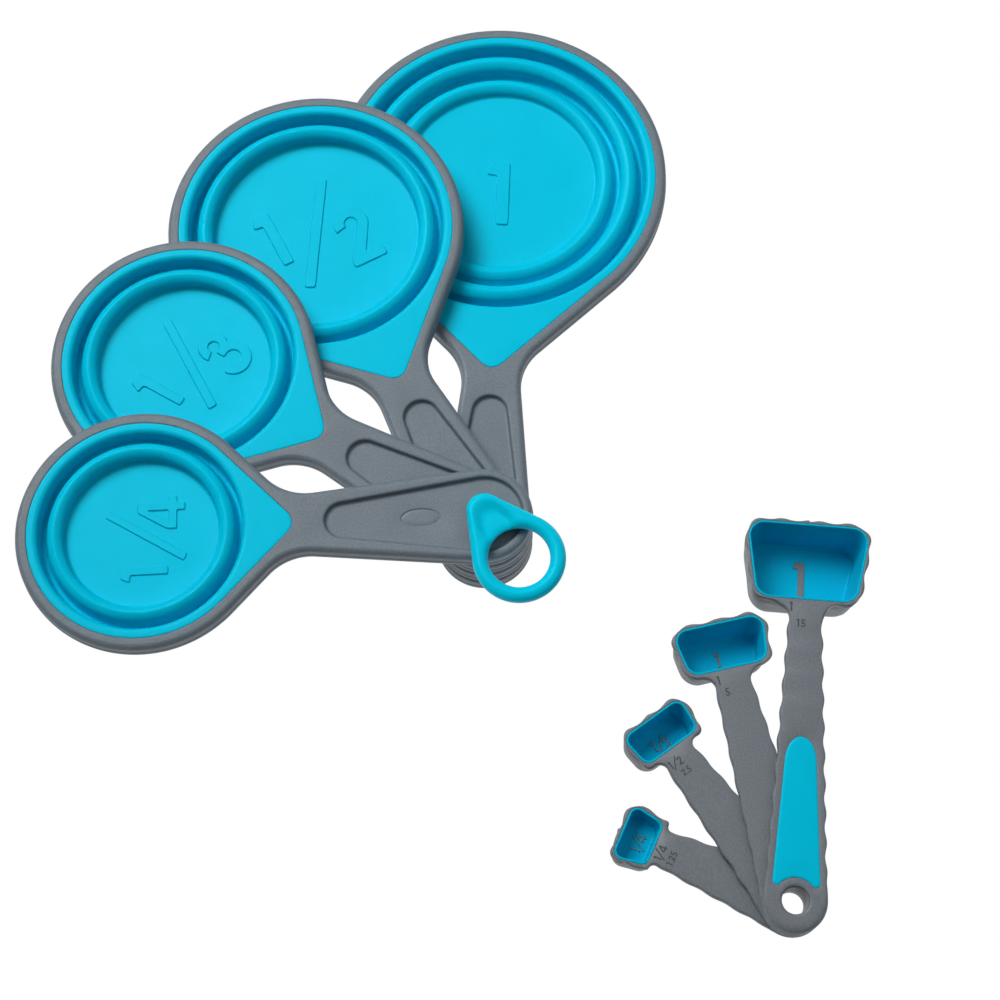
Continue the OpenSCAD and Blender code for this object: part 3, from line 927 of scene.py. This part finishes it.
def spoon_body(spoon):
    build = Build()
    outline = even(spoon_outline(spoon, LINER_T + SHELL_T), 0.4)
    normals = normals_of(outline)
    carrier = spoon.name == "tablespoon"      # has the post, the grip and a domed end
    along = SCALLOP_GRIP if carrier else SCALLOP_GRIP * 0.6
    wavy = scalloped(outline, normals, (along, SCALLOP_BOWL), spoon.reach - spoon.length / 2)
    edge = [(LIP_IN * (1 - sin(radians(a))), -LIP_DOWN * (1 - cos(radians(a)))) for a in range(0, 91, 10)]
    edge += [(0, -SPOON_T * 0.6), (0.15, -SPOON_T + 0.3), (0.5, -SPOON_T), (0.9, -SPOON_T)]
    rings = []
    for inset, z in edge:
        share = min(1.0, inset / LIP_IN)
        loop, heights = [], []
        for w, o, n in zip(wavy, outline, normals):
            dome = smooth_step((3 - o[0]) / 8) if carrier and z > -LIP_DOWN * 1.01 else 0.0
            by = inset * (1 + 1.9 * dome)
            loop.append(tuple(w[k] * (1 - share) + o[k] * share - n[k] * by for k in (0, 1)))
            heights.append(z * (1 + 0.5 * dome))
        rings.append(build.ring(loop, heights))
    build.skins(rings)

    # opening that the liner fills
    mouth = build.wall(even(spoon.bowl(LINER_T), 0.45),
                       [(0.2, 0), (0.05, -0.08), (0.0, -0.3), (0.0, -SPOON_T)])

    # the post's hole, with a softened lip
    hole_r = HANG_R if carrier else SNAP_R + 0.05
    lip = [(1.3, 0.0), (0.8, -0.04), (0.35, -0.2), (0.08, -0.5), (0.0, -0.9)]
    hole_rings = build.tube([(hole_r + by, z) for by, z in lip], 72)
    if carrier:
        low = SNAP_LOW - spoon.top
        bead_top = spoons[3].top - SPOON_T - 0.1 - spoon.top
        post = [(HANG_R, low + 0.3), (HANG_R + 0.3, low), (SNAP_R - 0.3, low), (SNAP_R, low + 0.3),
                (SNAP_R, bead_top - 1.0), (BEAD_R, bead_top - 0.75), (BEAD_R, bead_top - 0.25),
                (SNAP_R, bead_top), (SNAP_R, -SPOON_T)]
    else:
        post = [(hole_r, -SPOON_T)]
    post_rings = build.tube(post, 72)
    build.skin(hole_rings[-1], post_rings[0])
    build.fill(rings[-1], mouth[-1], post_rings[-1])
    holes = [mouth[0], hole_rings[0]]
    if carrier:
        # seat of the grip inlay
        seat = build.wall(grip_outline(0.04), [(0.25, 0), (0.02, -0.1), (0.0, -GRIP_T)])
        build.fill(seat[-1])
        holes.append(seat[0])
    build.fill(rings[0], *holes)

    # the bowl's shell, waved like the rim above it, and the cavity that the liner fills
    levels = 12
    deep = spoon.depth + LINER_T + 1.0
    start = -SPOON_T * 0.6
    made = []
    for k in range(levels + 1):
        t = k / levels
        z = start + (-deep - start) * t
        past_wall = (t - (1 - SHELL_FOOT)) / SHELL_FOOT
        round_in = 0.0 if past_wall < 0 else SHELL_CURVE * (1 - sqrt(max(0.0, 1 - past_wall ** 2)))
        groove = SHELL_GROOVE * (1 - smooth_step((t - 0.04) / 0.16))
        shell = spoon.bowl(LINER_T + SHELL_T - 0.1 - round_in - groove, spoon.draft * t)
        loop = resample(even(shell, 0.3), 240)
        wave = SCALLOP_BOWL * 0.7 * (1 - t)
        made.append(build.ring(scalloped(loop, normals_of(loop), (wave, wave), phase=2.4), z))
    cavity = [build.ring(resample(even(spoon.bowl(LINER_T + 0.03, lean), 0.3), 240), z)
              for lean, z in [(0, start), (spoon.draft, -deep + 1.0 - 0.03)]]
    build.skins(made)
    build.skins(cavity)
    build.fill(made[-1])
    build.fill(cavity[-1])
    build.fill(made[0], cavity[0])
    return spoon.place(build.piece(spoon.name + "_shell", GREY_SPOON))


def resample(loop, count):
    """The same closed outline with exactly this many points."""
    out = even(loop, sum(side_lengths(loop)) / count)
    while len(out) > count:
        out.pop()
    while len(out) < count:
        out.append(out[-1])
    return out


def spoon_liner(spoon):
    """Thin soft liner: a narrow rim flush with the shell, leaning walls and a rounded floor corner."""
    build = Build()
    count = len(even(spoon.bowl(LINER_T), 0.4))

    def ring(grow, lean, z):
        return build.ring(resample(even(spoon.bowl(grow, lean, 12), 0.2), count), z)

    draft, deep = spoon.draft, spoon.depth
    rings = [ring(LINER_T, draft * 0.9, -deep - LINER_T + 0.05), ring(LINER_T, 0, -0.3),
             ring(LINER_T - 0.08, 0, -0.06), ring(LINER_T - 0.25, 0, 0.0), ring(0.28, 0, 0.0),
             ring(0.1, 0.0, -0.06), ring(0.0, 0.0, -0.3)]
    for k in range(1, 6):
        t = k / 6
        rings.append(ring(0, draft * t, -0.3 - (deep - LINER_CURVE - 0.3) * t))
    for k in range(0, 7):
        a = radians(90 * k / 6)
        rings.append(ring(-LINER_CURVE * (1 - cos(a)), draft, -deep + LINER_CURVE * (1 - sin(a))))
    build.skins(rings)
    build.fill(rings[-1])
    build.fill(rings[0])
    return spoon.place(build.piece(spoon.name + "_bowl_liner", BLUE_LINER, 50))


def grip_outline(grow):
    """Round at the tip, wider towards the pivot and hollowed round the hole; grow narrows the hollow."""
    lean = asin(GRIP_FLARE / GRIP_REACH)
    notch = NOTCH_R - grow
    half_angle = degrees(acos(GRIP_FROM / notch))
    hollow = arc(0, 0, notch, half_angle, -half_angle, 16)
    tip = [(GRIP_REACH - GRIP_TIP_BACK + GRIP_TIP_LONG * cos(radians(t)), GRIP_TIP_WIDE * sin(radians(t)))
           for t in range(-88, 89, 4)]
    x, y = GRIP_FROM + 0.01, (GRIP_END_R + GRIP_FLARE) / cos(lean) - GRIP_FROM * tan(lean)
    loop = [(x, 0.9 - y), (x + 0.9, 0.05 - y)] + tip + [(x + 0.9, y - 0.05), (x, y - 0.9)] + hollow
    return even(loop, 0.45)


def tablespoon_grip():
    build = Build()
    rings = build.wall(grip_outline(0.0), [(0.0, -GRIP_T), (0.0, -0.12), (-0.12, 0.02), (-0.4, 0.12),
                                           (-0.9, 0.18)])
    build.fill(rings[-1])
    build.fill(rings[0])
    return spoons[0].place(build.piece("tablespoon_soft_grip", BLUE_GRIP))


# Numerals on the floors, then those beside the bowls: numeral, left edge and foot (a bar's middle)
# from the bowl's centre, and height
FLOOR_TEXT = {
    "tablespoon": [("1", -0.9, -7.4, 12.9)],
    "teaspoon": [("1", -1.0, -3.9, 5.2)],
    "half_teaspoon": [("1", -3.1, -2.9, 4.2), ("/", -0.6, -1.6, 3.6), ("2", 0.6, -4.2, 4.2)],
    "quarter_teaspoon": [("1", -2.9, -1.9, 3.4), ("/", -0.5, -0.6, 3.0), ("4", 0.4, -2.4, 3.4)],
}
SIDE_TEXT = {
    "tablespoon": [("1", -5.3, -18.2, 3.3), ("1", -2.7, -23.6, 2.8), ("5", -1.6, -23.6, 2.8)],
    "teaspoon": [("1", -4.9, -13.2, 3.2), ("5", -3.6, -17.4, 2.7)],
    "half_teaspoon": [("1", -4.7, -12.2, 2.9), ("/", -2.9, -10.9, 2.6), ("2", -1.8, -12.5, 2.9),
                      ("2", -3.0, -16.2, 2.4), (".", -1.5, -16.2, 2.4), ("5", -0.9, -16.2, 2.4)],
    "quarter_teaspoon": [("1", -4.1, -9.8, 2.9), ("/", -2.4, -8.5, 2.6), ("4", -1.4, -10.1, 2.9),
                         ("1", -4.2, -13.8, 2.4), (".", -3.3, -13.8, 2.4), ("2", -2.7, -13.8, 2.4),
                         ("5", -1.1, -13.8, 2.4)],
}


FLOOR_LIFT, FLOOR_BEVEL = 0.45, 0.12
SIDE_ROOT, SIDE_LIFT, SIDE_BEVEL = -0.15, 0.16, 0.02    # these stand only a hair above the handle


def spoon_text(spoon, name, text, base, lift, bevel, material):
    build = Build()

    def place_at(right, up):
        return spoon.reach + up, -right

    write(build, text, place_at, base, lift, bevel)
    return spoon.place(build.piece(spoon.name + name, material, 60))


for spoon in spoons:
    numeral = PALE_MARK if len(FLOOR_TEXT[spoon.name]) > 1 else GREY_SPOON
    settle(spoon_text(spoon, "_floor_numeral", FLOOR_TEXT[spoon.name], -spoon.depth - NUMERAL_ROOT,
                      FLOOR_LIFT, FLOOR_BEVEL, numeral), spoon.name, "spoon_grey")
    # the side numerals carry painted shade, dark where the real ones are sunk into the handle
    settle(spoon_text(spoon, "_side_numeral", SIDE_TEXT[spoon.name], SIDE_ROOT,
                      SIDE_LIFT, SIDE_BEVEL, ENGRAVING_SHADE), spoon.name, "spoon_grey")
    settle(spoon_body(spoon), spoon.name, "spoon_grey", spoon.name + "_body")
    settle(spoon_liner(spoon), spoon.name, "liner_blue", spoon.name + "_liner")
settle(tablespoon_grip(), "tablespoon", "grip_blue", "tablespoon_grip")


# ---------------------------------------------------------------- floor, light and camera
FLOOR_DROP = 0.03         # metres, to keep the floor under the bowls when they are opened
STAGE_SIZE = 5            # metres, for the floor's reach and the dome's radius
WORLD_GLOW = 0.1


def glowing(name):
    """Plain white that is lit from within, as on a light table."""
    white, nodes, links, bsdf, _ = shader(name, (0, 0, 0), 1.0)
    bsdf.inputs["Specular IOR Level"].default_value = 0
    bsdf.inputs["Emission Color"].default_value = (1, 1, 1, 1)
    bsdf.inputs["Emission Strength"].default_value = 1.0
    return white, nodes, links, bsdf


def floor():
    """A flat white ground; from below it is clear, so the underside can be seen."""
    build = Build()
    size = STAGE_SIZE / MM
    build.fill(build.ring([(-size, -size), (size, -size), (size, size), (-size, size)], 0))
    white, nodes, links, bsdf = glowing("pale_floor")
    side = nodes.new("ShaderNodeNewGeometry")
    clear = nodes.new("ShaderNodeBsdfTransparent")
    mix = nodes.new("ShaderNodeMixShader")
    links.new(side.outputs["Backfacing"], mix.inputs[0])
    links.new(bsdf.outputs[0], mix.inputs[1])
    links.new(clear.outputs[0], mix.inputs[2])
    links.new(mix.outputs[0], nodes["Material Output"].inputs["Surface"])
    obj = build.piece("floor", white)
    obj.location.z = -FLOOR_DROP


def backdrop():
    """A white dome all round that only fills the background and lights nothing."""
    build = Build()
    bmesh.ops.create_uvsphere(build.bm, u_segments=48, v_segments=24, radius=STAGE_SIZE / MM)
    obj = build.piece("backdrop", glowing("pale_backdrop")[0])
    obj.visible_diffuse = obj.visible_glossy = obj.visible_transmission = obj.visible_shadow = False


def light(name, where, size, power, target=(0, 0, 0), spread=180):
    """A square soft box that faces its target; spread is in degrees."""
    data = bpy.data.lights.new(name, "AREA")
    data.spread = radians(spread)
    data.energy = power
    data.size = size
    obj = bpy.data.objects.new(name, data)
    bpy.context.scene.collection.objects.link(obj)
    obj.location = where
    obj.rotation_euler = (Vector(target) - Vector(where)).to_track_quat("-Z", "Y").to_euler()


CAMERA_AT = Vector((0.00539, -0.2223, 0.673))
CAMERA_PITCH = 19.57      # degrees from straight down
CAMERA_LENS, CAMERA_SENSOR = 72, 36


def camera():
    data = bpy.data.cameras.new("camera")
    data.lens = CAMERA_LENS
    data.sensor_width = CAMERA_SENSOR
    obj = bpy.data.objects.new("camera", data)
    bpy.context.scene.collection.objects.link(obj)
    obj.location = CAMERA_AT
    obj.rotation_euler = (radians(CAMERA_PITCH), 0, 0)
    bpy.context.scene.camera = obj


def world():
    scene = bpy.context.scene
    scene.world = bpy.data.worlds.new("studio")
    scene.world.use_nodes = True
    background = scene.world.node_tree.nodes["Background"]
    background.inputs["Color"].default_value = (1, 1, 1, 1)
    background.inputs["Strength"].default_value = WORLD_GLOW
    scene.view_settings.view_transform = "Standard"


floor()
backdrop()
world()
light("key", (-0.55, 0.75, 1.25), size=0.9, power=3.7, target=(0.16, 0.08, 0), spread=60)
light("fill", (0.9, 0.1, 1.3), size=1.2, power=4)
camera()
